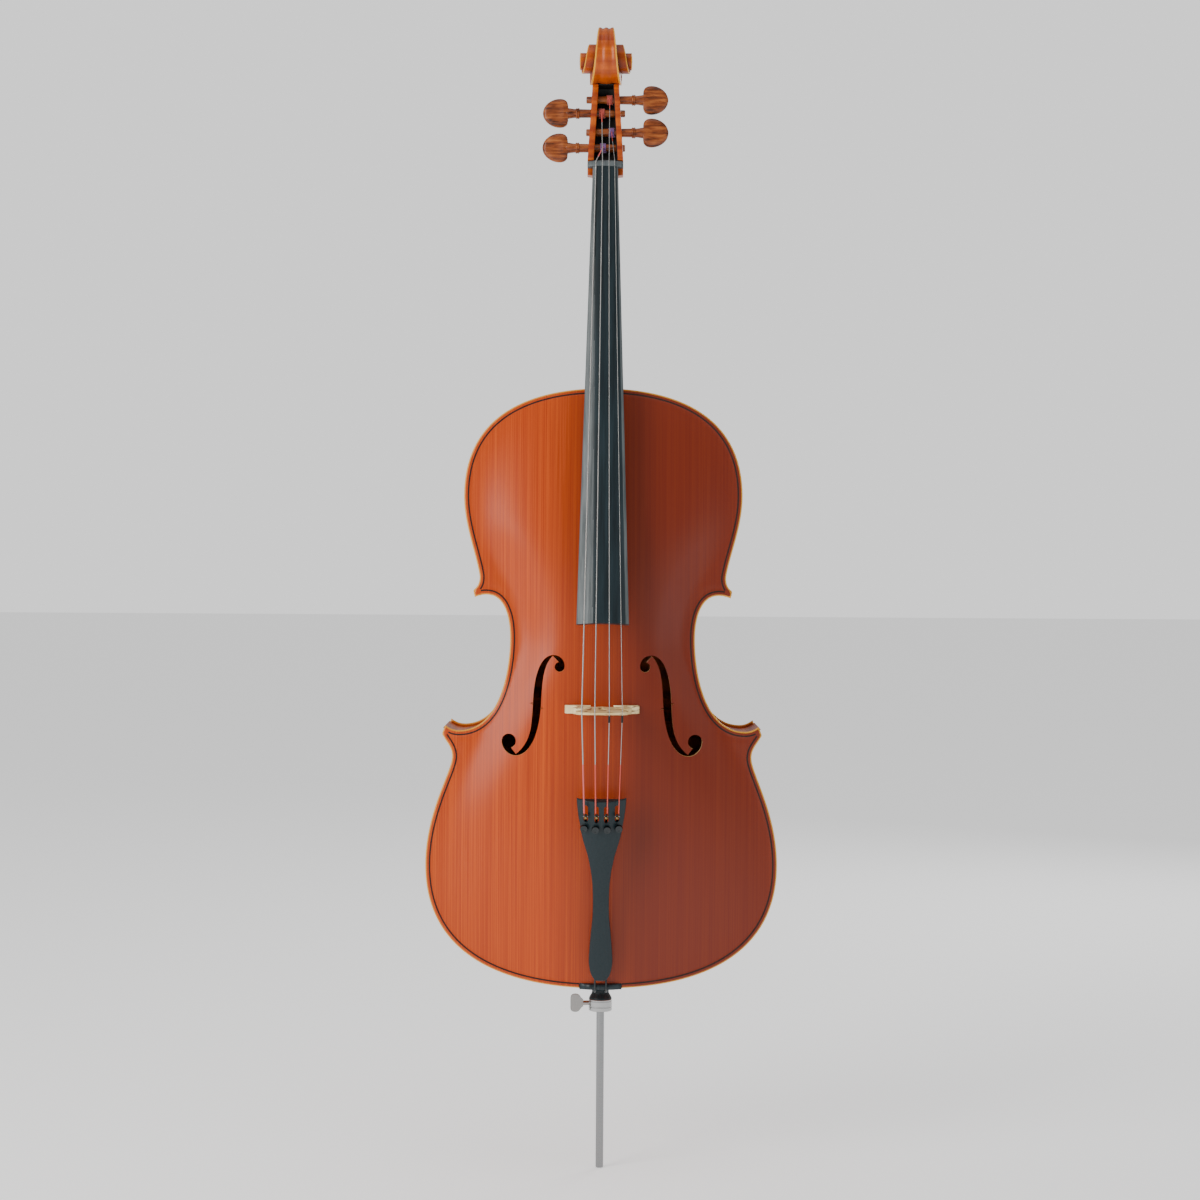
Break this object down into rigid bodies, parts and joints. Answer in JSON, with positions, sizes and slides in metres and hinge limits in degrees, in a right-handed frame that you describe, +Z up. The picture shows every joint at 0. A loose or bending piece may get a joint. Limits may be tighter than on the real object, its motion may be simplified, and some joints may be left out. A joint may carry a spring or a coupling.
{
  "type": "cello",
  "caption": "Full-size bowed string instrument: carved hollow body with f-shaped holes, scrolled neck, tuning pegs, tailpiece with fine tuners and a sliding steel endpin.",
  "frame": {"origin": "tip of the endpin, on the floor, with the endpin set 201 mm out", "axes": "+Z up along the instrument from the endpin to the scroll, strings and top plate facing -Y, lowest string on the -X side"},
  "size_m": [0.4426, 0.2675, 1.4634],
  "materials": {
    "spruce_varnished": "orange-brown varnish over fine vertical grain, glossy",
    "maple_varnished": "golden-brown varnish over flamed maple, glossy",
    "purfling": "dark inlaid strip under varnish",
    "bare_wood": "unvarnished pale wood",
    "black_board": "black hardwood, worn to a satin grey sheen",
    "bridge_maple": "unvarnished pale maple with flecks",
    "rosewood": "striped rosewood, polished",
    "composite": "dark blue-grey moulded composite, satin",
    "tuner_black": "black plated lever",
    "tuner_knob": "black plated knurled knob",
    "steel": "drawn steel",
    "string_steel": "fine flat metal winding",
    "chrome": "bright plated",
    "satin_nickel": "satin nickel plate",
    "brass": "plain brass",
    "silk": "red silk thread wrapping",
    "sleeve_rubber": "black tube",
    "gut_cord": "black nylon cord"
  },
  "bodies": {
    "cello_body": {"top_plate": "spruce_varnished", "back_plate": "maple_varnished", "purfling_top": "purfling", "purfling_back": "purfling", "linings_top": "bare_wood", "linings_back": "bare_wood", "neck_block": "bare_wood", "end_block": "bare_wood", "corner_blocks_upper": "bare_wood", "corner_blocks_lower": "bare_wood", "bass_bar": "bare_wood", "sound_post": "bare_wood", "neck": "maple_varnished", "fingerboard": "black_board", "nut": "black_board", "saddle": "black_board", "bridge": "bridge_maple", "string_sleeves": "sleeve_rubber", "tailpiece": "composite", "lever_pins": "steel", "tailgut": "gut_cord", "tailgut_nuts": "brass", "endpin_plug": "composite", "endpin_collar": "chrome", "rib_upper_bass": "maple_varnished", "rib_upper_treble": "maple_varnished", "rib_middle_bass": "maple_varnished", "rib_middle_treble": "maple_varnished", "rib_lower_bass": "maple_varnished", "rib_lower_treble": "maple_varnished", "string_c": "string_steel", "string_g": "string_steel", "string_d": "string_steel", "string_a": "string_steel"},
    "endpin": {"endpin_rod": "steel", "endpin_stop": "steel"},
    "thumb_screw_body": {"thumb_screw": "satin_nickel"},
    "peg_c_body": {"peg_c": "rosewood", "winding_c": "silk"},
    "peg_g_body": {"peg_g": "rosewood", "winding_g": "silk"},
    "peg_d_body": {"peg_d": "rosewood", "winding_d": "silk"},
    "peg_a_body": {"peg_a": "rosewood", "winding_a": "silk"},
    "tuner_screw_c_body": {"tuner_screw_c": "tuner_knob"},
    "tuner_lever_c_body": {"tuner_lever_c": "tuner_black", "ball_end_c": "brass"},
    "tuner_screw_g_body": {"tuner_screw_g": "tuner_knob"},
    "tuner_lever_g_body": {"tuner_lever_g": "tuner_black", "ball_end_g": "brass"},
    "tuner_screw_d_body": {"tuner_screw_d": "tuner_knob"},
    "tuner_lever_d_body": {"tuner_lever_d": "tuner_black", "ball_end_d": "brass"},
    "tuner_screw_a_body": {"tuner_screw_a": "tuner_knob"},
    "tuner_lever_a_body": {"tuner_lever_a": "tuner_black", "ball_end_a": "brass"}
  },
  "joints": [
    {"name": "endpin_slide", "type": "slide", "parent": "cello_body", "child": "endpin", "axis": [0, 0, -1], "range_m": [-0.19, 0.2]},
    {"name": "thumb_screw_turn", "type": "hinge", "parent": "cello_body", "child": "thumb_screw_body", "pos_m": [-0.02, 0, 0.2104], "axis": [-1, 0, 0], "range_deg": [0, 720]},
    {"name": "peg_c_turn", "type": "hinge", "parent": "cello_body", "child": "peg_c_body", "pos_m": [0, -0.02165, 1.304], "axis": [-1, 0, 0], "continuous": true},
    {"name": "peg_g_turn", "type": "hinge", "parent": "cello_body", "child": "peg_g_body", "pos_m": [0, -0.00637, 1.351], "axis": [-1, 0, 0], "continuous": true},
    {"name": "peg_d_turn", "type": "hinge", "parent": "cello_body", "child": "peg_d_body", "pos_m": [0, -0.00036, 1.3695], "axis": [1, 0, 0], "continuous": true},
    {"name": "peg_a_turn", "type": "hinge", "parent": "cello_body", "child": "peg_a_body", "pos_m": [0, -0.01482, 1.325], "axis": [1, 0, 0], "continuous": true},
    {"name": "tuner_screw_c_turn", "type": "hinge", "parent": "cello_body", "child": "tuner_screw_c_body", "pos_m": [-0.0216, -0.13585, 0.44936], "axis": [0, 0.9613, 0.2756], "range_deg": [0, 1440]},
    {"name": "tuner_lever_c_tilt", "type": "hinge", "parent": "cello_body", "child": "tuner_lever_c_body", "pos_m": [-0.0192, -0.13375, 0.46452], "axis": [1, 0, 0], "range_deg": [0, 8]},
    {"name": "tuner_screw_g_turn", "type": "hinge", "parent": "cello_body", "child": "tuner_screw_g_body", "pos_m": [-0.0072, -0.13585, 0.44936], "axis": [0, 0.9613, 0.2756], "range_deg": [0, 1440]},
    {"name": "tuner_lever_g_tilt", "type": "hinge", "parent": "cello_body", "child": "tuner_lever_g_body", "pos_m": [-0.0059, -0.13375, 0.46452], "axis": [1, 0, 0], "range_deg": [0, 8]},
    {"name": "tuner_screw_d_turn", "type": "hinge", "parent": "cello_body", "child": "tuner_screw_d_body", "pos_m": [0.0072, -0.13585, 0.44936], "axis": [0, 0.9613, 0.2756], "range_deg": [0, 1440]},
    {"name": "tuner_lever_d_tilt", "type": "hinge", "parent": "cello_body", "child": "tuner_lever_d_body", "pos_m": [0.0059, -0.13375, 0.46452], "axis": [1, 0, 0], "range_deg": [0, 8]},
    {"name": "tuner_screw_a_turn", "type": "hinge", "parent": "cello_body", "child": "tuner_screw_a_body", "pos_m": [0.0216, -0.13585, 0.44936], "axis": [0, 0.9613, 0.2756], "range_deg": [0, 1440]},
    {"name": "tuner_lever_a_tilt", "type": "hinge", "parent": "cello_body", "child": "tuner_lever_a_body", "pos_m": [0.0192, -0.13375, 0.46452], "axis": [1, 0, 0], "range_deg": [0, 8]}
  ],
  "couplings": [
    {"joint": "tuner_lever_c_tilt", "follows": "tuner_screw_c_turn", "ratio": 0.0055556},
    {"joint": "tuner_lever_g_tilt", "follows": "tuner_screw_g_turn", "ratio": 0.0055556},
    {"joint": "tuner_lever_d_tilt", "follows": "tuner_screw_d_turn", "ratio": 0.0055556},
    {"joint": "tuner_lever_a_tilt", "follows": "tuner_screw_a_turn", "ratio": 0.0055556}
  ]
}
